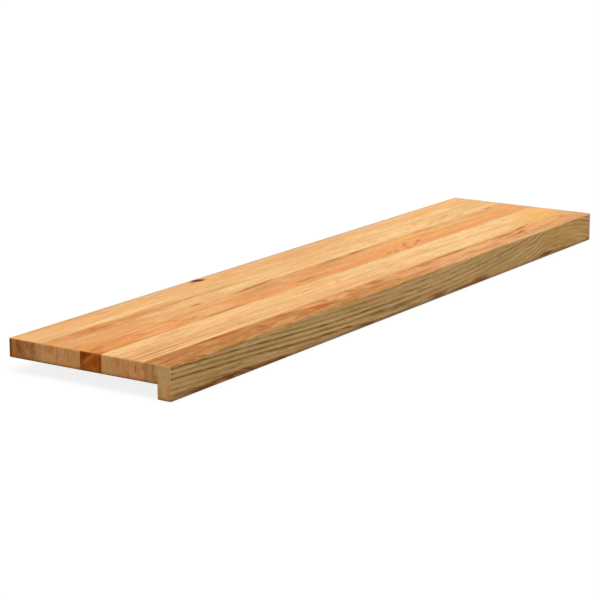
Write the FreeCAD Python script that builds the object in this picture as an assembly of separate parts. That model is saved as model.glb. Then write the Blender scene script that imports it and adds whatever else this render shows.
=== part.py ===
import FreeCAD, Part

import os

# A stair tread of laminated oak: seven staves glued edge to edge into a panel,
# and a deeper nose strip glued along its front that hangs down over the step.
# Millimetres. X runs along the tread, the nose faces -Y and +Z is up.
# The origin is in the middle of the outline, level with the nose's underside.

TREAD_LENGTH = 900.0

PANEL_THICKNESS = 20.0
NOSE_WIDTH = 16.0  # front to back
NOSE_DROP = 15.0  # how far the nose hangs below the panel

# Stave widths, from the riser edge at the back to the nose.
STAVE_1_WIDTH = 41.0
STAVE_2_WIDTH = 30.5
STAVE_3_WIDTH = 19.0
STAVE_4_WIDTH = 26.0
STAVE_5_WIDTH = 26.5
STAVE_6_WIDTH = 26.0
STAVE_7_WIDTH = 15.0

# Every outer arris is eased. The foot takes most wear from the nose's top one.
EASED_RADIUS = 1.5
NOSE_TOP_RADIUS = 2.0

STAVE_WIDTHS = [
    STAVE_1_WIDTH,
    STAVE_2_WIDTH,
    STAVE_3_WIDTH,
    STAVE_4_WIDTH,
    STAVE_5_WIDTH,
    STAVE_6_WIDTH,
    STAVE_7_WIDTH,
]
PANEL_WIDTH = sum(STAVE_WIDTHS)
TREAD_DEPTH = PANEL_WIDTH + NOSE_WIDTH
LEFT = -TREAD_LENGTH / 2
FRONT = -TREAD_DEPTH / 2
BACK = TREAD_DEPTH / 2
PANEL_FRONT = FRONT + NOSE_WIDTH
UNDERSIDE = NOSE_DROP
WALKING_FACE = NOSE_DROP + PANEL_THICKNESS

PLACE_TOLERANCE = 1e-6


def full_length_bar(front, width, bottom, height):
    """A square-edged bar as long as the tread."""
    corner = FreeCAD.Vector(LEFT, front, bottom)
    return Part.makeBox(TREAD_LENGTH, width, height, corner)


def lies_at(edge, axis, place):
    """Whether the whole edge lies at one place along an axis, 0 for x, 1 for y and 2 for z."""
    return all(abs(vertex.Point[axis] - place) < PLACE_TOLERANCE for vertex in edge.Vertexes)


def edges_at(bar, *places):
    """The bar's edges that lie at every one of the (axis, place) pairs."""
    return [edge for edge in bar.Edges if all(lies_at(edge, axis, place) for axis, place in places)]


def end_edges(bar, bottom):
    """The bar's top and bottom arrises at its two sawn ends."""
    found = []
    for end in (LEFT, -LEFT):
        for level in (bottom, WALKING_FACE):
            found += edges_at(bar, (0, end), (2, level))
    return found


def back_edges(bar):
    """The four arrises round the riser edge."""
    found = edges_at(bar, (1, BACK), (2, UNDERSIDE)) + edges_at(bar, (1, BACK), (2, WALKING_FACE))
    for end in (LEFT, -LEFT):
        found += edges_at(bar, (0, end), (1, BACK))
    return found


def stave(front, width, at_riser_edge):
    """One stave of the panel, square where it is glued and eased where it shows."""
    bar = full_length_bar(front, width, UNDERSIDE, PANEL_THICKNESS)
    eased = end_edges(bar, UNDERSIDE)
    if at_riser_edge:
        eased += back_edges(bar)
    return bar.makeFillet(EASED_RADIUS, eased)


def mark_underside(bar):
    """The nose with its back face parted where the panel's underside meets it: glued above, bare below."""
    left_point = FreeCAD.Vector(LEFT, PANEL_FRONT, UNDERSIDE)
    right_point = FreeCAD.Vector(-LEFT, PANEL_FRONT, UNDERSIDE)
    marked, _ = bar.generalFuse([Part.makeLine(left_point, right_point)])
    return marked.Solids[0]


def nose_strip():
    """The front strip: as high as the panel and its drop together, with a rounder walking arris."""
    bar = full_length_bar(FRONT, NOSE_WIDTH, 0, WALKING_FACE)
    bar = bar.makeFillet(NOSE_TOP_RADIUS, edges_at(bar, (1, FRONT), (2, WALKING_FACE)))
    eased = edges_at(bar, (1, FRONT), (2, 0)) + edges_at(bar, (1, PANEL_FRONT), (2, 0))
    for end in (LEFT, -LEFT):
        eased += edges_at(bar, (0, end), (1, FRONT))
    eased += end_edges(bar, 0)
    return mark_underside(bar.makeFillet(EASED_RADIUS, eased))


def tread():
    """Every piece by name, from the riser edge to the nose."""
    pieces = {}
    stave_back = BACK
    for number, width in enumerate(STAVE_WIDTHS, start=1):
        stave_front = stave_back - width
        pieces[f"stave_{number}"] = stave(stave_front, width, number == 1)
        stave_back = stave_front
    pieces["nose_strip"] = nose_strip()
    return pieces


os.makedirs("parts", exist_ok=True)
for name, shape in tread().items():
    shape.exportStep(f"parts/{name}.step")
    print(f"{name}: {len(shape.Solids)} solid, {shape.Volume / 1000:.2f} cm3, valid {shape.isValid()}")
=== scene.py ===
import math
from dataclasses import dataclass, field

import bpy
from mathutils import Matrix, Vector


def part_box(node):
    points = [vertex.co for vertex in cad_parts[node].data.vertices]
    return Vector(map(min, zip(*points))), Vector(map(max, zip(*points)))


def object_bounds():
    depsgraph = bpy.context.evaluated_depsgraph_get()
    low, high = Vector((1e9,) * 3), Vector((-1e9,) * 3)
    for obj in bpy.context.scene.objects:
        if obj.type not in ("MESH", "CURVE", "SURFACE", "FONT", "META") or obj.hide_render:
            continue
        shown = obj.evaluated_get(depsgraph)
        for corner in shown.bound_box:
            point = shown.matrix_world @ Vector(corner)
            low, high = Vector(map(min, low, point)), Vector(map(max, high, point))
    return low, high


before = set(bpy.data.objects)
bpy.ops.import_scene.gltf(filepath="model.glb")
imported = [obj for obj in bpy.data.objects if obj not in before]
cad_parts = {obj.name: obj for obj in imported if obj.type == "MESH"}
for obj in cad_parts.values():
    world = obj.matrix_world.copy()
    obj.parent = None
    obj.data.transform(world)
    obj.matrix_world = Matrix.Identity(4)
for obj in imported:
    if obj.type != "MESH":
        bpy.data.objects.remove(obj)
cad_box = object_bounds()

# Wood is described in millimetres: along from the left end, across from the riser edge
# towards the nose, and down from the walking face.
PER_METRE = 1000.0
LEFT = cad_box[0].x * PER_METRE
RISER_EDGE = cad_box[1].y * PER_METRE
WALKING_FACE = cad_box[1].z * PER_METRE
LENGTH = (cad_box[1].x - cad_box[0].x) * PER_METRE
DEPTH = (cad_box[1].y - cad_box[0].y) * PER_METRE

# Colours are written as they show on the walking face, where this much light falls
# and the oil's sheen adds this much white.
LIGHT = 0.955
SHEEN = 0.033

WHITE = (1.0, 1.0, 1.0, 1.0)


def linear(value):
    """The share of full light that a 0 to 255 sRGB screen value stands for."""
    share = value / 255
    return share / 12.92 if share <= 0.04045 else ((share + 0.055) / 1.055) ** 2.4


def oiled(red, green, blue):
    """The wood's own colour, from the 0 to 255 screen colour that it shows under its oil."""
    return tuple(max(0.0, (linear(value) - SHEEN) / LIGHT) for value in (red, green, blue)) + (1.0,)


CREAM = oiled(253, 213, 154)
STRAW = oiled(246, 206, 146)
PALE = oiled(243, 194, 136)
HONEY = oiled(239, 184, 124)
GOLD = oiled(250, 190, 112)
ROSE = oiled(247, 182, 134)
PEACH = oiled(252, 194, 134)
ORANGE = oiled(245, 169, 107)
CORAL = oiled(246, 156, 102)
AMBER = oiled(230, 148, 86)
TAN = oiled(228, 165, 110)
FAWN = oiled(212, 147, 92)
BROWN = oiled(188, 128, 76)
UMBER = oiled(158, 94, 44)
RUST = oiled(200, 110, 60)
KNOT = oiled(96, 60, 20)
# Painted shade for the far edges.
DULL_SHADE = oiled(208, 183, 150)
CLAY = oiled(234, 171, 121)
BRICK = oiled(222, 152, 104)

FRONT_PALE = oiled(235, 197, 138)
FRONT_WARM = oiled(224, 179, 119)
FRONT_GOLD = oiled(226, 176, 108)
FRONT_LINE = oiled(138, 94, 54)
# Painted shade for the front's lower edge.
FRONT_LOWER_SHADE = oiled(174, 143, 106)
FRONT_RED = oiled(138, 88, 55)
FRONT_RUST = oiled(198, 124, 66)

END_TAN = oiled(231, 170, 112)
END_PALE = oiled(227, 179, 126)
END_ROSE = oiled(233, 165, 116)
END_BROWN = oiled(186, 125, 83)
END_RUST = oiled(208, 130, 72)
END_RED = oiled(226, 134, 86)
END_UMBER = oiled(184, 102, 58)
END_DARK = oiled(150, 80, 46)
END_OLIVE = oiled(206, 157, 96)
# Painted shade for the ends' lower edge and for the back corner of the first stave's end; also a dark mark
# in the last stave's end.
END_SHADE_AND_MARK = oiled(136, 96, 60)


class Field:
    """A number that varies over the wood. It adds, multiplies and so on like a plain number."""

    def __init__(self, graph, socket):
        self.graph = graph
        self.socket = socket

    def __add__(self, other):
        return self.graph.math("ADD", self, other)

    def __sub__(self, other):
        return self.graph.math("SUBTRACT", self, other)

    def __rsub__(self, other):
        return self.graph.math("SUBTRACT", other, self)

    def __mul__(self, other):
        return self.graph.math("MULTIPLY", self, other)

    def __truediv__(self, other):
        return self.graph.math("DIVIDE", self, other)

    def __pow__(self, other):
        return self.graph.math("POWER", self, other)

    def __abs__(self):
        return self.graph.math("ABSOLUTE", self)

    __radd__ = __add__
    __rmul__ = __mul__


class Graph:
    """The nodes of a material or the world. An input is a number, a colour, a Field or a node's output."""

    def __init__(self, owner):
        owner.use_nodes = True
        self.tree = owner.node_tree
        self.tree.nodes.clear()

    def node(self, kind, **settings):
        """Adds a node with these settings."""
        made = self.tree.nodes.new(kind)
        for name, value in settings.items():
            setattr(made, name, value)
        return made

    def feed(self, socket, value):
        """Sets an input to a plain value, or links it to what varies."""
        if isinstance(value, Field):
            value = value.socket
        if isinstance(value, bpy.types.NodeSocket):
            self.tree.links.new(value, socket)
        else:
            socket.default_value = value

    def math(self, operation, *values):
        """One step of arithmetic."""
        made = self.node("ShaderNodeMath", operation=operation)
        for socket, value in zip(made.inputs, values):
            self.feed(socket, value)
        return Field(self, made.outputs[0])

    def smooth(self, value, low, high):
        """Rises smoothly from 0 at low to 1 at high, or falls where high is the smaller."""
        made = self.node("ShaderNodeMapRange", interpolation_type="SMOOTHSTEP")
        for name, number in (("Value", value), ("From Min", low), ("From Max", high)):
            self.feed(made.inputs[name], number)
        return Field(self, made.outputs["Result"])

    def blend(self, first, second, share):
        """Mixes two colours."""
        made = self.node("ShaderNodeMix", data_type="RGBA", clamp_factor=True)
        self.feed(made.inputs["Factor"], share)
        mixed = [socket for socket in made.inputs if socket.type == "RGBA"]
        for socket, colour in zip(mixed, (first, second)):
            self.feed(socket, colour)
        return next(socket for socket in made.outputs if socket.type == "RGBA")

    def shade(self, colour, strength):
        """A colour made lighter or darker."""
        made = self.node("ShaderNodeVectorMath", operation="SCALE")
        self.feed(made.inputs[0], colour)
        self.feed(made.inputs["Scale"], strength)
        return made.outputs[0]

    def curve(self, value, points):
        """A smooth curve through (value, result) points, both from 0 to 1."""
        made = self.node("ShaderNodeFloatCurve")
        drawn = made.mapping.curves[0]
        drawn.points[0].location = points[0]
        drawn.points[1].location = points[-1]
        for point in points[1:-1]:
            drawn.points.new(*point)
        made.mapping.update()
        self.feed(made.inputs["Value"], value)
        return Field(self, made.outputs["Value"])

    def parts(self, vector):
        """The three numbers of a vector."""
        made = self.node("ShaderNodeSeparateXYZ")
        self.feed(made.inputs[0], vector)
        return [Field(self, socket) for socket in made.outputs]

    def surface(self, shader):
        """Makes a shader the material's surface."""
        output = self.node("ShaderNodeOutputMaterial")
        self.feed(output.inputs["Surface"], shader.outputs[0])

    def seen_rays(self):
        """1 for rays from the camera, also those that gloss or glass sends on, and 0 for the light's own."""
        paths = self.node("ShaderNodeLightPath")
        seen = self.math("MAXIMUM", paths.outputs["Is Camera Ray"], paths.outputs["Is Glossy Ray"])
        return self.math("MAXIMUM", seen, paths.outputs["Is Transmission Ray"])


@dataclass
class Pattern:
    """Blotches of noise: their lengths along the fibres, across them and down, and the noise
    at which they start to show and show fully."""

    lengths: tuple
    low: float
    high: float
    detail: float = 2.0
    shift: float = 0.0


@dataclass
class Patch:
    """Wood of another colour, such as a knot, flame, band or streak; a few of them are painted shade along
    edges. Its reach is where it has half faded.
    """

    along: float
    across: float
    reach: tuple
    colour: tuple
    strength: float = 0.7  # how much of the wood under it is hidden
    turn: float = 0.0  # degrees that its long axis turns towards the nose
    lean: float = 0.0  # degrees that its lower part leans towards the riser edge
    down: float = 0.0
    soft: float = 0.6  # the share of its reach over which it fades, on either side of the outline
    fray: float = 1.8  # how far the fibres fray the outline


@dataclass
class Swirl:
    """Where the fibres bend round a knot: how far they bulge towards the nose, and how steeply they rise."""

    along: float
    across: float
    reach: tuple
    bulge: float = 0.0
    slope: float = 0.0
    contrast: float = 0.0  # how much more the ring lines show
    sink: float = 0.0  # how far they bulge down
    down: float = 0.0


@dataclass
class Wood:
    """How one glued piece was cut from its tree, and the colours that it took under the oil."""

    node: str
    pith: tuple  # the tree's middle, across and down
    spacing: float  # from one ring line to the next
    pale: tuple  # the long faces are mottled from this colour ...
    warm: tuple  # ... to this one
    line: tuple  # the colour of their ring lines
    contrast: float  # how clearly those lines show
    end: tuple  # the sawn ends, and their lines
    end_line: tuple
    end_contrast: float
    line_width: float = 0.2  # as a share of the spacing
    far_contrast: float = 1.0  # how much of the contrast is left at the right end
    lines_from: float = 0.0  # how far down the lines begin
    wander: float = 1.0  # how far the fibres stray
    broken: float = 0.6  # how much of a ring line is lost where it is faint
    streaks: float = 0.3  # how strong the dark and pale fibres are
    gleam: tuple = CREAM  # the lightest dashes
    ember: tuple = ORANGE  # the reddest patches
    dip: tuple = ()  # how far the fibres run down, at places along the piece
    first_line: int = 0  # the number of the ring whose line comes first in line_strengths
    line_strengths: tuple = ()  # of each ring line from the first, going outwards
    swirls: list = field(default_factory=list)
    patches: list = field(default_factory=list)
    knots: list = field(default_factory=list)  # stains that no paler fibres hide
    end_patches: list = field(default_factory=list)


NOISE_MEAN = 0.5

# The fibres stray in long waves with shorter ones on them.
LONG_WAVE = (240.0, 90.0, 90.0)
LONG_WAVE_HEIGHT = 7.0
SHORT_WAVE = (80.0, 24.0, 24.0)
SHORT_WAVE_HEIGHT = 2.0
DOWNWARD_SHIFT = 5.0  # keeps the waves down apart from the waves across


class Grain(Graph):
    """Nodes with the place in the tread, the way the surface faces and noise along the fibres."""

    def __init__(self, material, wood, seed):
        super().__init__(material)
        self.seed = seed
        mapped = self.node("ShaderNodeMapping")
        self.feed(mapped.inputs["Vector"], self.node("ShaderNodeTexCoord").outputs["Object"])
        mapped.inputs["Scale"].default_value = (PER_METRE, -PER_METRE, -PER_METRE)
        mapped.inputs["Location"].default_value = (-LEFT, RISER_EDGE, WALKING_FACE)
        self.place = mapped.outputs[0]
        self.along, self.across, self.down = self.parts(self.place)
        normal = self.node("ShaderNodeNewGeometry").outputs["Normal"]
        self.right, self.back, self.up = self.parts(normal)
        self.fibres = self.place
        self.follow_fibres(wood)

    def raw_noise(self, vector, detail, roughness=0.5):
        """Noise from 0 to 1 whose blotches measure about 1 in the vector's own units."""
        made = self.node("ShaderNodeTexNoise")
        self.feed(made.inputs["Vector"], vector)
        made.inputs["Scale"].default_value = 1.0
        made.inputs["Detail"].default_value = detail
        made.inputs["Roughness"].default_value = roughness
        return Field(self, made.outputs[0])

    def noise(self, lengths, detail=2.0, roughness=0.5, shift=0.0):
        """Noise about 0 whose blotches measure these lengths along the fibres, across them and down."""
        squeeze = self.node("ShaderNodeMapping")
        self.feed(squeeze.inputs["Vector"], self.fibres)
        squeeze.inputs["Scale"].default_value = [1 / length for length in lengths]
        squeeze.inputs["Location"].default_value = (self.seed + shift,) * 3
        return self.raw_noise(squeeze.outputs[0], detail, roughness) - NOISE_MEAN

    def blotches(self, pattern):
        """1 in a pattern's blotches and 0 between them."""
        noise = self.noise(pattern.lengths, pattern.detail, shift=pattern.shift)
        return self.smooth(noise, pattern.low, pattern.high)

    def distance(self, centre, reach, turn=0.0, lean=0.0):
        """How far a point lies from a centre, as a share of the reach."""
        inside = self.node("ShaderNodeMapping", vector_type="TEXTURE")
        self.feed(inside.inputs["Vector"], self.place)
        inside.inputs["Location"].default_value = centre
        inside.inputs["Rotation"].default_value = (math.radians(lean), 0.0, math.radians(turn))
        inside.inputs["Scale"].default_value = reach
        length = self.node("ShaderNodeVectorMath", operation="LENGTH")
        self.feed(length.inputs[0], inside.outputs[0])
        return Field(self, length.outputs["Value"])

    def follow_fibres(self, wood):
        """Bends the place from which rings and noise are read, so that all of them follow the fibres."""
        wave = self.noise(LONG_WAVE, 1.0) * LONG_WAVE_HEIGHT
        wave = wave + self.noise(SHORT_WAVE, 1.0) * SHORT_WAVE_HEIGHT
        self.fibre_across = self.across + wave * wood.wander
        downward = self.noise(LONG_WAVE, 1.0, shift=DOWNWARD_SHIFT)
        self.fibre_down = self.down + downward * (LONG_WAVE_HEIGHT * wood.wander)
        if wood.dip:
            self.fibre_down = self.fibre_down - grain_dip(self, wood)
        for swirl in wood.swirls:
            run = (self.along - swirl.along) * swirl.slope - swirl.bulge
            share = swirl_share(self, swirl)
            self.fibre_across = self.fibre_across + share * run
            if swirl.sink:
                self.fibre_down = self.fibre_down - share * swirl.sink
        bent = self.node("ShaderNodeCombineXYZ")
        for socket, value in zip(bent.inputs, (self.along, self.fibre_across, self.fibre_down)):
            self.feed(socket, value)
        self.fibres = bent.outputs[0]


# A float curve runs from 0 to 1, so a dip is drawn about its middle at this scale.
DIP_SCALE = 60.0
DIP_ZERO = 0.5


def grain_dip(g, wood):
    """How far the fibres of a piece run down below their place at the left end."""
    points = [(along / LENGTH, DIP_ZERO + dip / DIP_SCALE) for along, dip in wood.dip]
    return (g.curve(g.along / LENGTH, points) - DIP_ZERO) * DIP_SCALE


# The shares of its reach at which a swirl ends and is full.
SWIRL_END = 1.4
SWIRL_FULL = 0.3


def swirl_share(g, swirl):
    """1 in the middle of a swirl and 0 outside it."""
    centre = (swirl.along, swirl.across, swirl.down)
    return g.smooth(g.distance(centre, swirl.reach), SWIRL_END, SWIRL_FULL)


WEAKEST_LINE = 0.35


def line_strength(g, wood, ring):
    """Some rings have a stronger line than others, by chance or as the wood says."""
    if wood.line_strengths:
        return listed_strength(g, wood, ring)
    chance = g.node("ShaderNodeTexWhiteNoise", noise_dimensions="1D")
    g.feed(chance.inputs["W"], ring)
    return Field(g, chance.outputs["Value"]) * (1 - WEAKEST_LINE) + WEAKEST_LINE


def listed_strength(g, wood, ring):
    """The strength that the wood lists for a ring's line, read from the middle of its step."""
    count = len(wood.line_strengths)
    steps = g.node("ShaderNodeValToRGB")
    g.feed(steps.inputs["Fac"], (ring - wood.first_line + 0.5) / count)
    ramp = steps.color_ramp
    ramp.interpolation = "CONSTANT"
    ramp.elements.remove(ramp.elements[1])
    for number, strength in enumerate(wood.line_strengths):
        stop = ramp.elements.new(number / count) if number else ramp.elements[0]
        stop.color = (strength, strength, strength, 1.0)
    shown = g.node("ShaderNodeSeparateColor")
    g.feed(shown.inputs[0], steps.outputs["Color"])
    return Field(g, shown.outputs["Red"])


# A ring line darkens over the first share of its ring, keeps its width, and then fades.
LINE_RISE = 0.12
LINE_TAIL = 2.2
SHORTEST_TAIL = 0.1
LINE_WAVER = (50.0, 10.0, 10.0)
LINE_WAVER_HEIGHT = 2.0
LINE_KEPT = Pattern((24.0, 2.6, 2.6), -0.16, 0.14)


def ring_lines(g, wood):
    """The dark porous line that starts each ring and fades outwards."""
    across = g.fibre_across - wood.pith[0]
    down = g.fibre_down - wood.pith[1]
    radius = (across * across + down * down) ** 0.5 + g.noise(LINE_WAVER, 3.0) * LINE_WAVER_HEIGHT
    number = radius / wood.spacing
    phase = g.math("FRACT", number)
    faded = wood.line_width * LINE_TAIL + SHORTEST_TAIL
    line = g.smooth(phase, 0.0, LINE_RISE) * g.smooth(phase, faded, wood.line_width)
    kept = g.blotches(LINE_KEPT) * wood.broken + (1.0 - wood.broken)
    return line * kept * line_strength(g, wood, g.math("FLOOR", number))


# The first faint lines show at this share of the depth where they begin in full.
FAINT_FROM = 0.4


def line_contrast(g, wood):
    """How clearly the ring lines show on the long faces."""
    contrast = g.along * (wood.contrast * (wood.far_contrast - 1) / LENGTH) + wood.contrast
    if wood.lines_from:
        contrast = contrast * g.smooth(g.down, wood.lines_from * FAINT_FROM, wood.lines_from)
    for swirl in wood.swirls:
        if swirl.contrast:
            contrast = contrast + swirl_share(g, swirl) * swirl.contrast
    return contrast


def sides(wood):
    """Where a piece's back and front sides lie, across."""
    low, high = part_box(wood.node)
    return RISER_EDGE - high.y * PER_METRE, RISER_EDGE - low.y * PER_METRE


# How many times its reach a patch's frayed outline can spread.
FRAYED_SPREAD = 2.5


def reaches(patch, wood):
    """Whether any of a patch's frayed outline can lie on the piece."""
    back, front = sides(wood)
    tilt = abs(math.sin(math.radians(patch.turn)))
    spread = max(patch.reach[1], patch.reach[0] * tilt) * FRAYED_SPREAD
    return back - spread < patch.across < front + spread


LONG_FRAY = (42.0, 2.2, 3.0)
SHORT_FRAY = (15.0, 1.4, 2.0)
SHORT_FRAY_SHARE = 0.6


def add_patches(g, colour, patches):
    """Lays each patch over the colour, with its outline frayed along the fibres."""
    frayed = g.noise(LONG_FRAY, 2.0) + g.noise(SHORT_FRAY, 1.0) * SHORT_FRAY_SHARE
    for patch in patches:
        centre = (patch.along, patch.across, patch.down)
        distance = g.distance(centre, patch.reach, patch.turn, patch.lean) + frayed * patch.fray
        share = g.smooth(distance, 1 + patch.soft, 1 - patch.soft) * patch.strength
        colour = g.blend(colour, patch.colour, share)
    return colour


MOTTLE = Pattern((190.0, 10.0, 10.0), -0.14, 0.14)
BLUSH = Pattern((50.0, 11.0, 11.0), 0.0, 0.2, detail=1.0)
BLUSH_SHARE = 0.3
EMBER = Pattern((30.0, 4.5, 4.5), 0.0, 0.2, shift=8.0)
EMBER_SHARE = 0.3
STREAK = Pattern((80.0, 3.6, 3.6), 0.0, 0.22)
DASH = Pattern((18.0, 1.8, 1.8), 0.05, 0.24, detail=1.0)
GLEAM = Pattern((26.0, 2.2, 2.2), 0.04, 0.24, detail=1.0, shift=3.0)
BROAD_SHADE = (260.0, 24.0, 24.0)
BROAD_SHADE_DEPTH = 0.12
FINE_SHADE = (70.0, 5.0, 5.0)
FINE_SHADE_DEPTH = 0.7
FIBRE_SHADE_DEPTH = 0.36


def long_face(g, wood, lines, fibre):
    """The colour where the wood is cut along its fibres."""
    colour = g.blend(wood.pale, wood.warm, g.blotches(MOTTLE))
    colour = g.blend(colour, wood.line, lines * line_contrast(g, wood))
    colour = add_patches(g, colour, [patch for patch in FAR_EDGE_SHADE + wood.patches if reaches(patch, wood)])
    colour = g.blend(colour, ROSE, g.blotches(BLUSH) * BLUSH_SHARE)
    colour = g.blend(colour, wood.ember, g.blotches(EMBER) * EMBER_SHARE)
    colour = g.blend(colour, wood.line, (g.blotches(STREAK) + g.blotches(DASH)) * wood.streaks)
    colour = g.blend(colour, wood.gleam, g.blotches(GLEAM) * wood.streaks)
    if wood.knots:
        colour = add_patches(g, colour, wood.knots)
    broad = g.noise(BROAD_SHADE, 1.0) * BROAD_SHADE_DEPTH
    fine = g.noise(FINE_SHADE, 2.0) * (FINE_SHADE_DEPTH * wood.streaks)
    return g.shade(colour, broad + fine + fibre * FIBRE_SHADE_DEPTH + 1.0)


# A ray measures this much across, along the piece and away from the pith.
RAY_WIDTH = 0.7
RAY_DEPTH = 20.0
RAY_LENGTH = 24.0
RAY_FAINT = 0.56
RAY_FULL = 0.72
RAY_SHADE = 0.1


def rays(g, wood):
    """Pale lines that run out from the pith across the end grain."""
    arm = math.hypot(sum(sides(wood)) / 2 - wood.pith[0], wood.pith[1])
    angle = g.math("ARCTAN2", g.across - wood.pith[0], g.down - wood.pith[1])
    place = g.node("ShaderNodeCombineXYZ")
    g.feed(place.inputs[0], angle * (arm / RAY_WIDTH))
    g.feed(place.inputs[1], g.along / RAY_DEPTH + g.down / RAY_LENGTH)
    return g.smooth(g.raw_noise(place.outputs[0], 1.0), RAY_FAINT, RAY_FULL)


def lower_end_shade(wood):
    """Painted shade along the lower edge of a piece's sawn ends."""
    bottom = WALKING_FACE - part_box(wood.node)[0].z * PER_METRE
    return Patch(450.0, 92.0, (2000.0, 500.0, 2.4), END_SHADE_AND_MARK, 0.55, down=bottom, soft=0.8, fray=0.5)


END_CLOUD = (400.0, 4.0, 8.0)
END_CLOUD_DEPTH = 0.55
SAW_MARK = (400.0, 0.8, 6.0)
SAW_MARK_DEPTH = 0.36


def end_face(g, wood, lines):
    """The colour of the sawn ends, where the rings show as arcs and the rays cross them."""
    colour = g.blend(wood.end, wood.end_line, lines * wood.end_contrast)
    # The lower edge of each end gets painted shade.
    colour = add_patches(g, colour, [*wood.end_patches, lower_end_shade(wood)])
    cloud = g.noise(END_CLOUD, 2.0) * END_CLOUD_DEPTH
    saw = g.noise(SAW_MARK, 2.0) * SAW_MARK_DEPTH
    return g.shade(colour, cloud + saw + rays(g, wood) * RAY_SHADE + 1.0)


PORE = Pattern((7.0, 0.45, 0.45), 0.08, 0.22, detail=1.0)
PORES_BETWEEN_LINES = 0.3


def pores(g, lines):
    """Short open pores, most of them in the ring lines."""
    return g.blotches(PORE) * (lines * (1 - PORES_BETWEEN_LINES) + PORES_BETWEEN_LINES)


# A side this close to the tread's own edge isn't a joint.
EDGE_MARGIN = 1.0
GLUE_END = 0.35
GLUE_FULL = 0.05

# How far a normal may point back or forward on a face that crosses the joints.
CROSSING_END = 0.6
CROSSING_FULL = 0.4


def glue_lines(g, wood):
    """1 along a hairline where the piece meets its neighbour, on the faces that cross the joint."""
    line = 0.0
    for side in sides(wood):
        if EDGE_MARGIN < side < DEPTH - EDGE_MARGIN:
            line = g.smooth(abs(g.across - side), GLUE_END, GLUE_FULL) + line
    return line * g.smooth(abs(g.back), CROSSING_END, CROSSING_FULL)


# An eased edge is known by its normal, which points between those of the two faces beside it.
# Each range runs from where the edge starts to show to where it shows fully.
# Painted shade on the upright, lower and far edges; a painted highlight, partly wear, on the front top edge.
CORNER_RANGE = (-0.08, -0.4)
CORNER_SHADE = -0.4
LOWER_RANGE = (-0.1, -0.5)
OFF_UNDERSIDE = (-0.99, -0.9)
LOWER_SHADE = -0.5
FAR_RANGE = (0.02, 0.3)
FAR_TOP_RANGE = (0.05, 0.5)
FAR_SHADE = -0.3
WEAR_AND_HIGHLIGHT_RANGE = (-0.25, -0.6)
WEAR_AND_HIGHLIGHT_TOP_RANGE = (0.3, 0.6)
WEAR_AND_HIGHLIGHT_LIFT = 0.1
WEAR_AND_HIGHLIGHT = Pattern((50.0, 9.0, 9.0), -0.1, 0.1)


def painted_edge_light(g):
    """Painted shade on the eased edges, where less light falls: the upright ones at the back left and
    front right, the lower ones and the far ones on top; and a painted highlight, partly wear, on the front
    one."""
    corner = g.smooth(g.right * g.back, *CORNER_RANGE)
    lower = g.smooth(g.up, *LOWER_RANGE) * g.smooth(g.up, *OFF_UNDERSIDE)
    far = g.smooth(g.math("MAXIMUM", g.right, g.back), *FAR_RANGE) * g.smooth(g.up, *FAR_TOP_RANGE)
    wear_and_highlight = g.smooth(g.back, *WEAR_AND_HIGHLIGHT_RANGE) * g.smooth(g.up, *WEAR_AND_HIGHLIGHT_TOP_RANGE) * g.blotches(WEAR_AND_HIGHLIGHT)
    return corner * CORNER_SHADE + lower * LOWER_SHADE + far * FAR_SHADE + wear_and_highlight * WEAR_AND_HIGHLIGHT_LIFT + 1.0


FIBRE = (55.0, 1.4, 1.4)
FIBRE_CRISPNESS = 0.6

# A normal that points this far along the piece belongs to an end.
END_FACE_BEGINS = 0.6
END_FACE_FULL = 0.8

PORE_SHADE = 0.3
GLUE_SHADE = 0.3

# The oil is thin and matt, and the surface dips at the pores and the ring lines.
ROUGHNESS = 0.6
FIBRE_ROUGHNESS = 0.3
PORE_ROUGHNESS = 0.2
SPECULAR = 0.05
BUMP_STRENGTH = 0.35
BUMP_DISTANCE = 0.0003
LINE_HOLLOW = 0.3


def oak(wood, seed):
    """Solid oak: rings, fibres, pores and stains run right through the piece and out at its ends."""
    material = bpy.data.materials.new(f"{wood.node}_oak")
    g = Grain(material, wood, seed)
    lines = ring_lines(g, wood)
    fibre = g.noise(FIBRE, 3.0, FIBRE_CRISPNESS)
    on_end = g.smooth(abs(g.right), END_FACE_BEGINS, END_FACE_FULL)
    colour = g.blend(long_face(g, wood, lines, fibre), end_face(g, wood, lines), on_end)
    hollow = pores(g, lines)
    marks = (1.0 - hollow * PORE_SHADE) * (1.0 - glue_lines(g, wood) * GLUE_SHADE)
    # The eased edges get painted shade and a painted highlight.
    colour = g.shade(colour, marks * painted_edge_light(g))

    shader = g.node("ShaderNodeBsdfPrincipled")
    g.feed(shader.inputs["Base Color"], colour)
    g.feed(shader.inputs["Roughness"], fibre * FIBRE_ROUGHNESS + hollow * PORE_ROUGHNESS + ROUGHNESS)
    shader.inputs["Specular IOR Level"].default_value = SPECULAR
    bump = g.node("ShaderNodeBump")
    bump.inputs["Strength"].default_value = BUMP_STRENGTH
    bump.inputs["Distance"].default_value = BUMP_DISTANCE
    g.feed(bump.inputs["Height"], 1.0 - hollow - lines * LINE_HOLLOW)
    g.feed(shader.inputs["Normal"], bump.outputs[0])
    g.surface(shader)
    return material


# How far the figure of each face reaches into the wood.
SKIN = 3.0
NOSE_SKIN = 1.9
FRONT_SKIN = 30.0
END_SKIN = 50.0

# Painted shade: the back arris and the right end are made duller and darker.
FAR_EDGE_SHADE = [
    Patch(450.0, 2.5, (600.0, 4.6, 5.0), DULL_SHADE, 0.85, fray=0.6),
    Patch(898.0, 100.0, (8.0, 300.0, 60.0), DULL_SHADE, 0.5, fray=0.4),
]

# How far the nose's grain runs down, at these places along it.
NOSE_DIP = (
    (0.0, 0.0),
    (90.0, 3.8),
    (180.0, 9.0),
    (265.0, 13.0),
    (345.0, 15.2),
    (430.0, 16.0),
    (500.0, 15.6),
    (560.0, 14.0),
    (620.0, 10.5),
    (680.0, 5.6),
    (740.0, -2.0),
    (790.0, -10.0),
    (830.0, -8.0),
    (900.0, 4.0),
)

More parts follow.
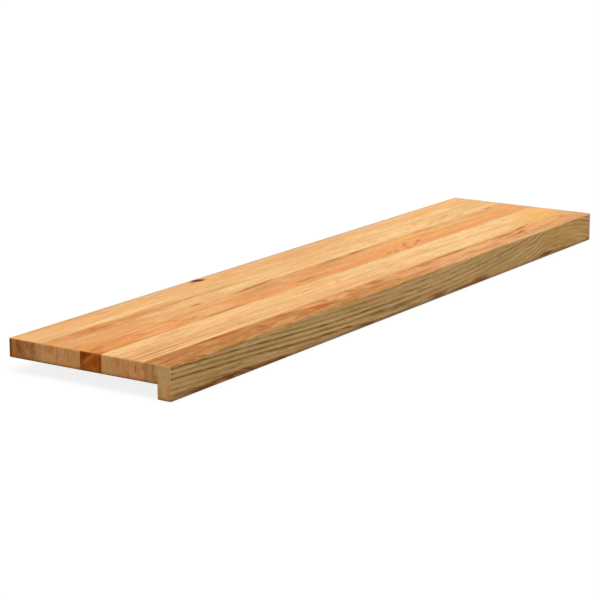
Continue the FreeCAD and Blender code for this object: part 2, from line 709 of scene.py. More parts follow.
STAVE_1 = Wood(
    "stave_1", pith=(-60.0, 2.0), spacing=5.5, pale=PALE, warm=HONEY, line=FAWN, contrast=0.28,
    end=END_TAN, end_line=END_BROWN, end_contrast=0.3, streaks=0.36,
    swirls=[Swirl(306.0, 8.0, (48.0, 15.0, 20.0), bulge=5.0, contrast=0.25)],
    patches=[
        Patch(60.0, 6.0, (80.0, 3.0, 9.0), AMBER, 0.4),
        Patch(75.0, 14.0, (30.0, 3.0, 8.0), ORANGE, 0.6),
        Patch(130.0, 15.0, (9.0, 1.8, 4.0), BROWN, 0.7),
        Patch(140.0, 35.0, (70.0, 3.0, 9.0), CREAM, 0.7),
        Patch(285.0, 12.0, (50.0, 11.0, 12.0), HONEY, 0.7),
        Patch(318.0, 17.0, (14.0, 3.0, 8.0), GOLD, 0.8),
        Patch(370.0, 13.0, (30.0, 4.0, 8.0), ORANGE, 0.5),
        Patch(405.0, 18.0, (15.0, 4.0, 8.0), ROSE, 0.8),
        Patch(480.0, 22.0, (60.0, 8.0, 12.0), TAN, 0.6),
        Patch(520.0, 17.0, (50.0, 3.0, 8.0), ORANGE, 0.7),
        Patch(608.0, 21.0, (26.0, 7.0, 10.0), GOLD, 0.7),
        Patch(640.0, 31.0, (120.0, 6.0, 12.0), CREAM, 0.6),
        Patch(675.0, 19.0, (25.0, 8.0, 10.0), ROSE, 0.7),
        Patch(780.0, 20.0, (30.0, 6.0, 10.0), GOLD, 0.8),
        Patch(810.0, 33.0, (80.0, 6.0, 10.0), CREAM, 0.7),
        Patch(800.0, 9.0, (110.0, 7.0, 12.0), PEACH, 0.6),
        Patch(862.0, 18.0, (40.0, 12.0, 12.0), PEACH, 0.8),
    ],
    knots=[
        Patch(297.0, 9.5, (9.0, 3.2, 16.0), RUST, 0.55, turn=-12.0, fray=1.0),
        Patch(306.5, 7.6, (10.0, 4.8, 12.0), UMBER, 0.9, turn=16.0, soft=0.4, fray=0.6),
        Patch(307.5, 7.0, (8.0, 4.2, 12.0), KNOT, 1.0, turn=16.0, soft=0.4, fray=0.4),
    ],
    end_patches=[
        Patch(0.0, 17.0, (END_SKIN, 19.0, 40.0), END_BROWN, 0.9, down=10.0),
        Patch(0.0, 7.0, (END_SKIN, 2.0, 12.0), END_RUST, 0.7, down=10.0),
        Patch(0.0, 12.8, (END_SKIN, 2.4, 8.0), END_DARK, 0.55, down=7.0, lean=-10.0),
        Patch(0.0, 24.0, (END_SKIN, 3.0, 4.0), END_ROSE, 0.35, down=13.0),
        Patch(0.0, 31.0, (END_SKIN, 2.4, 10.0), END_DARK, 0.25, down=7.0),
        Patch(0.0, 41.0, (END_SKIN, 5.0, 20.0), END_OLIVE, 0.5, down=8.0),
        # Painted shade down the back corner of the end.
        Patch(0.0, 2.2, (END_SKIN, 1.8, 40.0), END_SHADE_AND_MARK, 0.95, down=10.0, soft=0.4, fray=0.3),
    ],
)

STAVE_2 = Wood(
    "stave_2", pith=(10.0, -70.0), spacing=4.5, pale=PALE, warm=STRAW, line=FAWN, contrast=0.3,
    end=END_TAN, end_line=END_BROWN, end_contrast=0.2, streaks=0.38,
    patches=[
        Patch(70.0, 64.0, (130.0, 12.0, 30.0), TAN, 0.9),
        Patch(20.0, 50.0, (130.0, 11.0, 30.0), FAWN, 0.9),
        Patch(100.0, 57.0, (150.0, 14.0, 30.0), AMBER, 0.2),
        Patch(450.0, 56.0, (50.0, 9.0, 12.0), HONEY, 0.5),
        Patch(165.0, 49.0, (90.0, 5.0, 14.0), FAWN, 0.8),
        Patch(290.0, 49.5, (44.0, 3.2, 8.0), FAWN, 0.6),
        Patch(75.0, 50.0, (24.0, 6.5, 8.0), RUST, 0.5),
        Patch(74.0, 49.0, (6.0, 2.0, 3.0), UMBER, 0.4),
        Patch(118.0, 58.0, (16.0, 3.5, 6.0), AMBER, 0.8),
        Patch(150.0, 47.0, (18.0, 4.0, 6.0), AMBER, 0.6),
        Patch(35.0, 61.5, (26.0, 1.8, 4.0), STRAW, 0.6),
        Patch(86.0, 64.5, (30.0, 1.8, 4.0), STRAW, 0.5),
        Patch(152.0, 61.0, (26.0, 2.2, 5.0), STRAW, 0.7),
        Patch(205.0, 64.0, (44.0, 4.0, 10.0), STRAW, 0.6),
        Patch(210.0, 50.0, (30.0, 2.2, 5.0), FAWN, 0.7),
        Patch(235.0, 55.0, (30.0, 2.4, 5.0), STRAW, 0.6),
        Patch(300.0, 59.0, (24.0, 4.0, 10.0), CREAM, 0.8),
        Patch(395.0, 62.0, (60.0, 5.0, 10.0), HONEY, 0.7),
        Patch(460.0, 52.0, (50.0, 6.0, 10.0), HONEY, 0.7),
        Patch(400.0, 54.0, (40.0, 2.6, 8.0), STRAW, 0.7),
        Patch(565.0, 54.0, (16.0, 5.0, 10.0), CREAM, 0.8),
        Patch(560.0, 67.0, (44.0, 2.2, 10.0), CREAM, 0.7),
        Patch(470.0, 68.6, (34.0, 1.3, 4.0), CREAM, 0.8),
        Patch(515.0, 65.0, (28.0, 1.2, 4.0), CREAM, 0.8),
        Patch(670.0, 55.0, (50.0, 12.0, 12.0), CREAM, 0.9),
        Patch(712.0, 48.0, (12.0, 2.6, 4.0), FAWN, 0.4, turn=-20.0),
        Patch(728.0, 61.0, (20.0, 2.2, 4.0), FAWN, 0.35, turn=-20.0),
        Patch(776.0, 54.0, (20.0, 2.6, 5.0), FAWN, 0.4, turn=-15.0),
        Patch(800.0, 64.0, (20.0, 3.0, 5.0), FAWN, 0.4, turn=-12.0),
        Patch(840.0, 62.0, (50.0, 3.0, 10.0), STRAW, 0.6),
        Patch(860.0, 52.0, (30.0, 7.0, 10.0), HONEY, 0.6),
    ],
    end_patches=[
        Patch(0.0, 54.5, (END_SKIN, 4.5, 6.0), END_RUST, 0.6, down=3.0),
        Patch(0.0, 61.8, (END_SKIN, 1.3, 11.0), END_RUST, 0.5, down=5.0),
        Patch(0.0, 66.5, (END_SKIN, 3.0, 11.0), END_ROSE, 0.8, down=6.0),
    ],
)

STAVE_3 = Wood(
    "stave_3", pith=(150.0, -90.0), spacing=4.0, pale=TAN, warm=HONEY, line=FAWN, contrast=0.4,
    end=END_TAN, end_line=END_BROWN, end_contrast=0.35, streaks=0.36,
    patches=[
        Patch(90.0, 82.0, (140.0, 11.0, 14.0), TAN, 0.5),
        Patch(20.0, 82.0, (60.0, 11.0, 10.0), TAN, 0.8),
        Patch(28.0, 87.0, (44.0, 5.0, 10.0), AMBER, 0.7),
        Patch(6.0, 80.0, (9.0, 3.0, 5.0), RUST, 0.4),
        Patch(110.0, 88.0, (24.0, 4.0, 8.0), ORANGE, 0.7),
        Patch(138.0, 84.0, (10.0, 2.4, 5.0), CREAM, 0.6),
        Patch(390.0, 82.0, (120.0, 9.0, 12.0), FAWN, 0.7),
        Patch(212.0, 73.2, (10.0, 2.2, 4.0), BROWN, 0.9),
        Patch(312.0, 88.0, (11.0, 3.6, 6.0), RUST, 0.5),
        Patch(321.0, 75.2, (36.0, 2.8, 5.0), UMBER, 1.0, turn=-4.0, fray=0.9),
        Patch(402.0, 75.0, (16.0, 2.0, 4.0), BROWN, 0.6),
        Patch(478.0, 75.0, (16.0, 3.0, 4.0), UMBER, 0.8, fray=1.4),
        Patch(490.0, 78.0, (40.0, 3.0, 6.0), BROWN, 0.5),
        Patch(532.0, 75.0, (18.0, 2.8, 4.0), UMBER, 0.8, fray=1.4),
        Patch(570.0, 87.0, (34.0, 6.0, 10.0), ORANGE, 0.9),
        Patch(612.0, 79.0, (22.0, 4.0, 10.0), ORANGE, 0.7),
        Patch(655.0, 84.0, (40.0, 8.0, 10.0), GOLD, 0.7),
        Patch(655.0, 88.0, (30.0, 4.0, 10.0), ORANGE, 0.9),
        Patch(680.0, 73.4, (14.0, 2.4, 4.0), BROWN, 0.9, turn=-8.0),
        Patch(822.0, 82.0, (26.0, 5.0, 10.0), FAWN, 0.35),
        Patch(855.0, 73.4, (8.0, 2.0, 4.0), UMBER, 0.6),
    ],
    end_patches=[
        Patch(0.0, 75.5, (END_SKIN, 2.4, 9.0), END_RUST, 0.35, down=8.0),
        Patch(0.0, 88.0, (END_SKIN, 2.4, 8.0), END_RUST, 0.35, down=14.0),
    ],
)

STAVE_4 = Wood(
    "stave_4", pith=(60.0, -60.0), spacing=3.6, pale=TAN, warm=ORANGE, line=FAWN, contrast=0.4,
    end=END_UMBER, end_line=END_RUST, end_contrast=0.9, streaks=0.42, gleam=PALE, ember=AMBER,
    swirls=[
        Swirl(100.0, 101.0, (90.0, 16.0, 16.0), slope=0.16, contrast=0.35),
        Swirl(585.0, 103.0, (62.0, 15.0, 16.0), slope=0.45, contrast=0.3),
    ],
    patches=[
        Patch(15.0, 102.0, (75.0, 12.0, 20.0), AMBER, 0.65),
        Patch(14.0, 100.0, (12.0, 4.0, 6.0), RUST, 0.5, turn=-20.0),
        Patch(2.0, 112.0, (8.0, 5.0, 12.0), RUST, 0.8),
        Patch(50.0, 114.0, (60.0, 2.2, 5.0), RUST, 0.35),
        Patch(84.0, 102.0, (9.0, 2.4, 4.0), BROWN, 0.6, turn=20.0),
        Patch(108.0, 98.0, (26.0, 2.0, 4.0), GOLD, 0.6),
        Patch(98.0, 111.0, (26.0, 2.6, 5.0), ROSE, 0.7),
        Patch(150.0, 99.0, (20.0, 3.0, 8.0), RUST, 0.4, turn=24.0),
        Patch(205.0, 101.0, (34.0, 8.0, 10.0), PALE, 0.6),
        Patch(165.0, 106.5, (8.0, 3.4, 5.0), BROWN, 0.65, turn=-20.0, fray=0.9),
        Patch(214.0, 114.0, (34.0, 2.8, 5.0), BROWN, 0.75),
        Patch(272.0, 103.0, (36.0, 12.0, 12.0), FAWN, 0.4),
        Patch(309.0, 105.0, (17.0, 6.0, 5.0), CORAL, 0.6, turn=-24.0),
        Patch(345.0, 107.0, (15.0, 6.0, 6.0), ORANGE, 0.8, turn=-20.0),
        Patch(384.0, 105.0, (26.0, 2.2, 4.0), BROWN, 0.78, fray=1.2),
        Patch(437.0, 108.0, (22.0, 4.0, 6.0), AMBER, 0.8),
        Patch(520.0, 96.0, (40.0, 5.0, 8.0), ORANGE, 0.7),
        Patch(590.0, 104.0, (110.0, 13.0, 16.0), ORANGE, 0.7),
        Patch(562.0, 94.0, (16.0, 2.0, 4.0), FAWN, 0.5, turn=-24.0, fray=0.8),
        Patch(548.0, 109.5, (12.0, 2.6, 4.0), AMBER, 0.7, turn=-24.0, fray=0.8),
        Patch(557.0, 114.0, (11.0, 2.0, 4.0), RUST, 0.55, turn=-24.0, fray=0.8),
        Patch(588.0, 113.0, (8.0, 2.2, 4.0), RUST, 0.5, turn=-25.0, fray=0.8),
        Patch(601.0, 98.0, (13.0, 2.4, 4.0), RUST, 0.6, turn=-25.0, fray=0.8),
        Patch(617.0, 106.0, (15.0, 2.0, 4.0), RUST, 0.4, turn=-20.0, fray=0.8),
        Patch(630.0, 101.0, (6.5, 2.8, 4.0), RUST, 0.85, turn=-30.0, fray=0.8),
        Patch(625.0, 94.0, (22.0, 3.0, 6.0), GOLD, 0.6),
        Patch(695.0, 113.0, (9.0, 3.0, 5.0), FAWN, 0.8),
        Patch(690.0, 100.0, (40.0, 5.0, 8.0), GOLD, 0.6),
        Patch(740.0, 111.0, (30.0, 4.0, 8.0), AMBER, 0.4),
        Patch(770.0, 100.0, (44.0, 6.0, 8.0), GOLD, 0.6),
    ],
    end_patches=[
        Patch(0.0, 93.6, (END_SKIN, 4.2, 6.0), END_DARK, 0.95, down=4.5, fray=0.9),
        Patch(0.0, 101.0, (END_SKIN, 2.2, 5.5), END_DARK, 0.7, down=3.0, lean=50.0, fray=0.9),
        Patch(0.0, 100.0, (END_SKIN, 1.9, 10.0), END_RUST, 0.75, down=7.5, lean=50.0, fray=0.9),
        Patch(0.0, 108.5, (END_SKIN, 2.6, 6.0), END_DARK, 0.4, down=11.0, lean=25.0, fray=0.9),
        Patch(0.0, 107.0, (END_SKIN, 4.0, 2.4), END_RUST, 0.5, down=16.0, lean=10.0, fray=0.9),
        Patch(0.0, 94.0, (END_SKIN, 4.0, 3.0), END_DARK, 0.35, down=15.0, fray=0.9),
        Patch(0.0, 115.2, (END_SKIN, 1.6, 20.0), END_DARK, 0.7, down=10.0, fray=0.9),
        Patch(0.0, 113.5, (END_SKIN, 3.0, 2.4), END_RED, 0.5, down=0.0),
    ],
)

STAVE_5 = Wood(
    "stave_5", pith=(400.0, 30.0), spacing=4.2, pale=PALE, warm=STRAW, line=FAWN, contrast=0.22,
    end=END_TAN, end_line=END_BROWN, end_contrast=0.35, streaks=0.42,
    patches=[
        Patch(150.0, 128.0, (220.0, 14.0, 14.0), PALE, 0.7),
        Patch(30.0, 126.0, (50.0, 4.5, 12.0), STRAW, 0.6),
        Patch(30.0, 135.5, (56.0, 2.2, 8.0), TAN, 0.8),
        Patch(350.0, 128.0, (55.0, 9.0, 14.0), HONEY, 0.7),
        Patch(388.0, 140.0, (14.0, 2.4, 5.0), TAN, 0.8, turn=-22.0),
        Patch(680.0, 129.0, (180.0, 11.0, 20.0), CREAM, 0.85),
        Patch(856.0, 138.0, (46.0, 14.0, 16.0), GOLD, 0.8),
        Patch(870.0, 121.0, (36.0, 7.0, 12.0), PEACH, 0.7),
    ],
    end_patches=[
        Patch(0.0, 134.0, (END_SKIN, 5.0, 6.0), END_ROSE, 0.7, down=15.0),
        Patch(0.0, 135.5, (END_SKIN, 4.0, 4.0), END_RUST, 0.35, down=5.0),
        Patch(0.0, 141.5, (END_SKIN, 2.6, 6.0), END_ROSE, 0.5, down=8.0),
        Patch(0.0, 123.0, (END_SKIN, 4.0, 12.0), END_PALE, 0.4, down=10.0),
    ],
)

STAVE_6 = Wood(
    "stave_6", pith=(-200.0, 40.0), spacing=3.6, pale=PALE, warm=HONEY, line=FAWN, contrast=0.38,
    end=END_TAN, end_line=END_BROWN, end_contrast=0.35, far_contrast=0.36, streaks=0.36,
    patches=[
        Patch(20.0, 152.0, (110.0, 9.0, 20.0), TAN, 0.6),
        Patch(20.0, 143.5, (40.0, 1.3, 6.0), FAWN, 0.7),
        Patch(30.0, 148.0, (50.0, 1.4, 6.0), BROWN, 0.65),
        Patch(70.0, 151.6, (80.0, 1.2, 6.0), STRAW, 0.7),
        Patch(65.0, 156.0, (80.0, 1.5, 6.0), BROWN, 0.65),
        Patch(150.0, 159.0, (60.0, 1.4, 6.0), FAWN, 0.7),
        Patch(80.0, 159.4, (60.0, 1.1, 6.0), STRAW, 0.6),
        Patch(30.0, 162.5, (40.0, 1.2, 6.0), BROWN, 0.55),
        Patch(130.0, 165.8, (100.0, 1.7, 6.0), STRAW, 0.8),
        Patch(110.0, 168.8, (90.0, 0.8, 6.0), TAN, 0.7),
        Patch(250.0, 150.0, (50.0, 2.0, 8.0), CREAM, 0.5),
        Patch(445.0, 158.0, (24.0, 2.0, 5.0), FAWN, 0.7),
        Patch(490.0, 146.0, (16.0, 2.0, 5.0), FAWN, 0.6, turn=-15.0),
        Patch(620.0, 155.0, (160.0, 10.0, 14.0), CREAM, 0.8),
        Patch(850.0, 152.0, (60.0, 14.0, 14.0), GOLD, 0.8),
        Patch(766.0, 168.4, (22.0, 2.0, 5.0), AMBER, 0.9, turn=-7.0),
        Patch(768.0, 168.4, (9.0, 1.2, 5.0), UMBER, 0.45, turn=-7.0),
        Patch(790.0, 165.0, (12.0, 1.2, 4.0), FAWN, 0.7, turn=-12.0),
    ],
    end_patches=[
        Patch(0.0, 149.0, (END_SKIN, 0.9, 16.0), END_BROWN, 0.3, down=10.0),
        Patch(0.0, 148.0, (END_SKIN, 2.4, 3.0), END_RUST, 0.4, down=16.0),
        Patch(0.0, 158.0, (END_SKIN, 0.9, 4.0), END_UMBER, 0.8, down=9.0, fray=0.9),
        Patch(0.0, 163.0, (END_SKIN, 4.0, 8.0), END_RED, 0.6, down=13.0, fray=3.0),
        Patch(0.0, 164.6, (END_SKIN, 0.8, 6.0), END_PALE, 0.8, down=9.0, lean=8.0, fray=0.6),
        Patch(0.0, 167.0, (END_SKIN, 1.4, 3.0), END_UMBER, 0.5, down=6.0, fray=0.9),
    ],
)

# The figure that runs over the joint between the last stave and the nose.
FRONT_FIGURE = [
    Patch(90.0, 184.0, (280.0, 26.0, NOSE_SKIN), BROWN, 0.95, soft=0.3),
    Patch(8.0, 186.0, (26.0, 14.0, SKIN), UMBER, 0.3),
    Patch(100.0, 171.4, (120.0, 2.6, SKIN), BROWN, 0.85, turn=1.5),
    Patch(118.0, 172.2, (34.0, 2.6, SKIN), UMBER, 0.9, turn=1.5),
    Patch(218.0, 174.4, (32.0, 2.4, SKIN), UMBER, 0.7, turn=1.5),
    Patch(215.0, 170.2, (60.0, 1.3, SKIN), PALE, 0.8, turn=1.0),
    Patch(276.0, 177.0, (10.0, 2.6, SKIN), AMBER, 0.6),
    Patch(225.0, 182.0, (24.0, 4.0, SKIN), BROWN, 0.6),
    Patch(132.0, 188.0, (18.0, 2.0, SKIN), UMBER, 0.75),
    Patch(192.0, 180.0, (13.0, 6.5, SKIN), FAWN, 0.7),
    Patch(175.0, 184.5, (4.0, 4.0, SKIN), UMBER, 0.8),
    Patch(280.0, 176.5, (16.0, 3.0, SKIN), ROSE, 0.85),
    Patch(320.0, 177.0, (24.0, 5.0, SKIN), ROSE, 0.85),
    Patch(386.0, 175.0, (100.0, 5.0, SKIN), TAN, 0.6),
    Patch(425.0, 191.0, (50.0, 8.0, SKIN), FAWN, 1.0),
    Patch(303.0, 176.5, (6.0, 3.4, SKIN), BROWN, 0.8, fray=0.4),
    Patch(326.0, 184.0, (8.0, 7.0, SKIN), HONEY, 0.5),
    Patch(312.0, 192.0, (15.0, 3.0, SKIN), BROWN, 0.8),
    Patch(326.0, 177.0, (10.0, 1.3, SKIN), BROWN, 0.7, turn=-14.0),
    Patch(347.0, 184.0, (7.0, 4.0, SKIN), RUST, 0.8),
    Patch(357.5, 174.5, (6.4, 4.2, SKIN), UMBER, 0.7, fray=0.5),
    Patch(366.0, 169.3, (7.0, 3.0, SKIN), GOLD, 0.8, fray=0.8),
    Patch(370.5, 180.3, (9.0, 3.0, SKIN), UMBER, 0.7, fray=0.5),
    Patch(376.0, 189.0, (15.0, 4.0, SKIN), RUST, 0.35),
    Patch(409.0, 176.0, (16.0, 4.6, SKIN), BROWN, 1.0, fray=1.2),
    Patch(430.0, 197.0, (60.0, 4.0, SKIN), BROWN, 0.35),
    Patch(465.0, 184.5, (46.0, 2.6, SKIN), ROSE, 0.9),
    Patch(480.0, 174.0, (30.0, 2.0, SKIN), FAWN, 0.7),
    Patch(545.0, 173.0, (30.0, 1.6, SKIN), FAWN, 0.7),
    Patch(434.0, 190.0, (5.0, 1.8, SKIN), UMBER, 0.8),
    Patch(490.0, 194.5, (16.0, 6.0, SKIN), BROWN, 0.45),
    Patch(519.0, 176.0, (17.0, 5.4, SKIN), RUST, 0.75, fray=1.2),
    Patch(519.0, 175.0, (9.0, 3.6, SKIN), BROWN, 0.7),
    Patch(538.0, 179.5, (18.0, 2.6, SKIN), ORANGE, 0.8),
    Patch(560.0, 186.0, (50.0, 3.0, SKIN), ROSE, 0.8),
    Patch(586.0, 171.4, (40.0, 2.6, SKIN), BROWN, 1.0, fray=1.4),
    Patch(602.0, 171.2, (24.0, 1.7, SKIN), UMBER, 0.6, fray=1.2),
    Patch(650.0, 174.5, (40.0, 4.0, SKIN), HONEY, 0.8),
    Patch(618.0, 180.5, (46.0, 3.6, SKIN), PEACH, 0.6),
    Patch(650.0, 173.0, (16.0, 2.4, SKIN), TAN, 0.7),
    Patch(660.0, 188.0, (90.0, 4.0, SKIN), ROSE, 0.6),
    Patch(652.0, 172.5, (26.0, 1.8, SKIN), FAWN, 0.8),
    Patch(708.0, 173.6, (28.0, 3.6, SKIN), AMBER, 0.4, fray=1.4),
    Patch(712.0, 173.4, (24.0, 3.6, SKIN), BROWN, 0.85, fray=1.4),
    Patch(760.0, 170.4, (17.0, 2.4, SKIN), RUST, 0.8, turn=-8.0, fray=1.2),
    Patch(762.0, 170.0, (12.0, 1.4, SKIN), UMBER, 0.4, turn=-8.0, fray=1.2),
    Patch(700.0, 187.0, (15.0, 3.0, SKIN), ORANGE, 0.9, turn=-8.0),
    Patch(724.0, 183.0, (26.0, 3.0, SKIN), AMBER, 1.0, turn=-10.0, fray=1.4),
    Patch(741.0, 181.2, (14.0, 3.2, SKIN), RUST, 0.85, turn=-12.0, fray=1.4),
    Patch(748.0, 175.4, (16.0, 1.7, SKIN), HONEY, 0.8, turn=-10.0),
    Patch(705.0, 189.5, (26.0, 1.4, SKIN), ROSE, 0.8),
    Patch(636.0, 189.0, (44.0, 2.0, SKIN), BROWN, 0.55),
    Patch(560.0, 194.0, (50.0, 1.4, SKIN), PALE, 0.6),
    Patch(742.0, 194.2, (44.0, 1.8, SKIN), BROWN, 0.6),
    Patch(738.0, 197.6, (34.0, 1.4, SKIN), STRAW, 0.6),
    Patch(850.0, 190.0, (60.0, 12.0, SKIN), BRICK, 0.75),
    Patch(600.0, 193.0, (90.0, 1.0, SKIN), BROWN, 0.4),
    Patch(690.0, 191.6, (80.0, 0.9, SKIN), BROWN, 0.55, turn=0.6),
    Patch(790.0, 188.6, (70.0, 1.0, SKIN), BROWN, 0.5, turn=-0.8),
    Patch(650.0, 196.2, (120.0, 1.0, SKIN), PALE, 0.7),
    Patch(800.0, 192.4, (70.0, 1.0, SKIN), PALE, 0.7),
    Patch(852.0, 182.0, (40.0, 9.0, NOSE_SKIN), ROSE, 0.6),
    Patch(863.0, 178.0, (9.0, 4.0, SKIN), RUST, 0.4),
]

# The red-brown mark over the same joint, which no paler fibres hide.
JOINT_MARK = [
    Patch(277.0, 185.0, (27.0, 4.8, SKIN), RUST, 0.78, turn=6.0, fray=0.8),
    Patch(286.0, 186.4, (15.0, 2.6, SKIN), UMBER, 0.3, turn=6.0, fray=0.8),
]

STAVE_7 = Wood(
    "stave_7", pith=(320.0, -20.0), spacing=3.5, pale=TAN, warm=HONEY, line=FAWN, contrast=0.45,
    end=END_TAN, end_line=END_BROWN, end_contrast=0.35, streaks=0.46, gleam=TAN, ember=RUST,
    swirls=[Swirl(178.0, 185.0, (30.0, 9.0, 12.0), bulge=4.0, contrast=0.3)],
    patches=[*FRONT_FIGURE, Patch(815.0, 174.0, (28.0, 8.0, SKIN), GOLD, 0.5)],
    knots=JOINT_MARK,
    end_patches=[
        Patch(0.0, 175.0, (END_SKIN, 4.0, 20.0), END_OLIVE, 0.9, down=8.0),
        Patch(0.0, 170.5, (END_SKIN, 1.6, 18.0), END_BROWN, 0.7, down=10.0),
        Patch(0.0, 181.5, (END_SKIN, 3.0, 6.0), END_DARK, 0.4, down=18.0),
        Patch(0.0, 179.0, (END_SKIN, 1.6, 8.0), END_SHADE_AND_MARK, 0.4, down=5.0, fray=0.9),
    ],
)

NOSE_STRIP = Wood(
    "nose_strip", pith=(190.0, -401.5), spacing=5.3, pale=FRONT_PALE, warm=FRONT_WARM, line=FRONT_LINE,
    contrast=1.0, end=END_PALE, end_line=END_TAN, end_contrast=0.15, line_width=0.26, far_contrast=0.95,
    lines_from=1.8, wander=0.3, broken=0.35, streaks=0.36, gleam=FRONT_PALE, ember=FRONT_WARM,
    dip=NOSE_DIP, first_line=72,
    line_strengths=(0.25, 0.3, 0.35, 0.5, 0.95, 0.8, 0.9, 0.35, 0.6, 0.4, 0.5, 0.5, 0.5),
    swirls=[Swirl(400.0, 200.0, (80.0, 40.0, 7.0), sink=3.5, down=31.0)],
    patches=[
        Patch(660.0, DEPTH, (170.0, FRONT_SKIN, 40.0), FRONT_PALE, 0.4, down=12.0),
        Patch(450.0, DEPTH, (120.0, FRONT_SKIN, 4.0), FRONT_PALE, 0.25, down=29.0),
        Patch(450.0, 190.0, (620.0, 14.0, NOSE_SKIN), CLAY, 1.0, soft=0.3, fray=0.5),
        Patch(380.0, 192.0, (170.0, 14.0, NOSE_SKIN), FAWN, 0.8),
        *FRONT_FIGURE,
        Patch(808.0, 206.0, (44.0, 8.0, 40.0), FRONT_GOLD, 1.0, down=18.0, fray=1.0),
        Patch(870.0, DEPTH, (60.0, FRONT_SKIN, 15.0), FRONT_GOLD, 0.6, down=20.0),
        # Painted shade along the front's lower edge.
        Patch(450.0, DEPTH, (700.0, FRONT_SKIN, 2.6), FRONT_LOWER_SHADE, 0.9, down=34.0, soft=0.5, fray=0.6),
        Patch(60.0, DEPTH, (80.0, FRONT_SKIN, 2.4), FRONT_RED, 0.6, down=31.0),
        Patch(118.0, DEPTH, (84.0, FRONT_SKIN, 3.1), FRONT_RED, 0.95, down=32.6, soft=0.4, fray=0.8),
        Patch(188.0, DEPTH, (9.0, FRONT_SKIN, 2.2), FRONT_RED, 0.8, down=32.4, fray=0.6),
        Patch(348.0, DEPTH, (15.0, FRONT_SKIN, 2.4), FRONT_RED, 0.7, down=32.5),
        Patch(506.0, DEPTH, (14.0, FRONT_SKIN, 3.0), FRONT_RED, 0.8, down=30.6, soft=0.9),
        Patch(570.0, DEPTH, (26.0, FRONT_SKIN, 2.2), FRONT_RED, 0.6, down=32.2),
        Patch(600.0, DEPTH, (12.0, FRONT_SKIN, 2.6), FRONT_RUST, 0.8, down=29.2, soft=0.9),
        Patch(614.0, DEPTH, (12.0, FRONT_SKIN, 2.4), FRONT_RED, 0.7, down=31.4, soft=0.9),
        Patch(774.0, DEPTH, (16.0, FRONT_SKIN, 3.0), FRONT_RED, 0.9, down=31.4, soft=0.8),
    ],
    knots=JOINT_MARK,
    end_patches=[
        Patch(0.0, 199.0, (END_SKIN, 3.5, 12.0), END_RUST, 0.6, down=31.0),
        Patch(0.0, 186.0, (END_SKIN, 2.0, 12.0), END_OLIVE, 0.5, down=30.0),
    ],
)

WOODS = (STAVE_1, STAVE_2, STAVE_3, STAVE_4, STAVE_5, STAVE_6, STAVE_7, NOSE_STRIP)

# Each piece's noise starts elsewhere.
FIRST_SEED = 10.0
SEED_STEP = 7.3


def dress_woods():
    """Gives each glued piece its own oak."""
    for number, wood in enumerate(WOODS):
        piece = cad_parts[wood.node]
        piece.data.materials.clear()
        piece.data.materials.append(oak(wood, FIRST_SEED + SEED_STEP * number))


FLOOR_SIZE = 40.0
FLOOR_GAP = 0.0001  # keeps it from sharing a plane with the nose's underside
FLOOR_BOUNCE = (0.45, 0.45, 0.45, 1.0)
FLOOR_SHOWS = 1.02  # a touch over white, where no shadow falls
FLOOR_SHADOW_DEPTH = 0.17


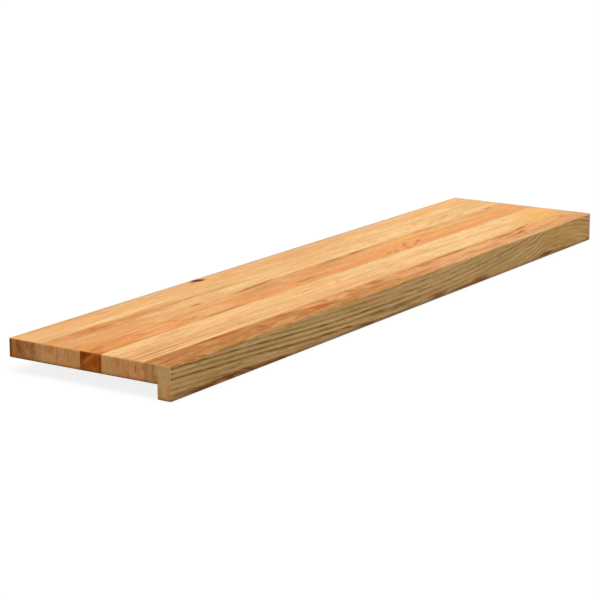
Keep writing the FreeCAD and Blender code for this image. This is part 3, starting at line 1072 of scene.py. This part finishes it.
def floor():
    """A wide white floor that keeps the tread's shadow and shows pure white away from it."""
    bpy.ops.mesh.primitive_plane_add(size=FLOOR_SIZE, location=(0, 0, cad_box[0].z - FLOOR_GAP))
    ground = bpy.context.object
    ground.name = "floor"
    material = bpy.data.materials.new("floor_white")
    g = Graph(material)
    seen = g.seen_rays()
    matt = g.node("ShaderNodeBsdfDiffuse")
    matt.inputs["Color"].default_value = FLOOR_BOUNCE
    faint = g.node("ShaderNodeBsdfDiffuse")
    faint.inputs["Color"].default_value = (FLOOR_SHADOW_DEPTH,) * 3 + (1.0,)
    glow = g.node("ShaderNodeEmission")
    glow.inputs["Strength"].default_value = FLOOR_SHOWS - FLOOR_SHADOW_DEPTH
    pale = g.node("ShaderNodeAddShader")
    g.feed(pale.inputs[0], faint.outputs[0])
    g.feed(pale.inputs[1], glow.outputs[0])
    chosen = g.node("ShaderNodeMixShader")
    for socket, value in zip(chosen.inputs, (seen, matt.outputs[0], pale.outputs[0])):
        g.feed(socket, value)
    g.surface(chosen)
    ground.data.materials.append(material)


SKY_STRENGTH = 0.32


def sky():
    """An even sky that lights the tread a little and shows white behind it."""
    world = bpy.data.worlds.new("studio")
    bpy.context.scene.world = world
    g = Graph(world)
    strength = g.seen_rays() * (1.0 - SKY_STRENGTH) + SKY_STRENGTH
    background = g.node("ShaderNodeBackground")
    background.inputs["Color"].default_value = WHITE
    g.feed(background.inputs["Strength"], strength)
    output = g.node("ShaderNodeOutputWorld")
    g.feed(output.inputs["Surface"], background.outputs[0])


SUN_STRENGTH = 2.15
SUN_SPREAD = math.radians(50)
SUN_TILT = (math.radians(8), math.radians(-8), 0.0)


def sun():
    """One broad soft light, nearly overhead."""
    light = bpy.data.lights.new("soft_sun", "SUN")
    light.energy = SUN_STRENGTH
    light.angle = SUN_SPREAD
    holder = bpy.data.objects.new("soft_sun", light)
    bpy.context.scene.collection.objects.link(holder)
    holder.rotation_euler = SUN_TILT


SENSOR_WIDTH = 36.0
LENS = 125.8
TURN_RIGHT = math.radians(56.61)
LOOK_DOWN = math.radians(13.43)
AWAY = 2.3945
TO_THE_LEFT = 0.0428
BELOW = 0.0033


def camera():
    """Looks along the tread from its left front corner, as the photograph does."""
    data = bpy.data.cameras.new("camera")
    data.sensor_width = SENSOR_WIDTH
    data.lens = LENS
    seen_from = bpy.data.objects.new("camera", data)
    bpy.context.scene.collection.objects.link(seen_from)
    level = Vector((math.sin(TURN_RIGHT), math.cos(TURN_RIGHT), 0))
    sight = level * math.cos(LOOK_DOWN) - Vector((0, 0, math.sin(LOOK_DOWN)))
    right = Vector((level.y, -level.x, 0))
    upright = right.cross(sight)
    seen_from.location = -(right * TO_THE_LEFT + upright * BELOW + sight * AWAY)
    seen_from.rotation_mode = "QUATERNION"
    seen_from.rotation_quaternion = sight.to_track_quat("-Z", "Y")
    bpy.context.scene.camera = seen_from


dress_woods()
floor()
sky()
sun()
camera()
bpy.context.scene.view_settings.view_transform = "Standard"
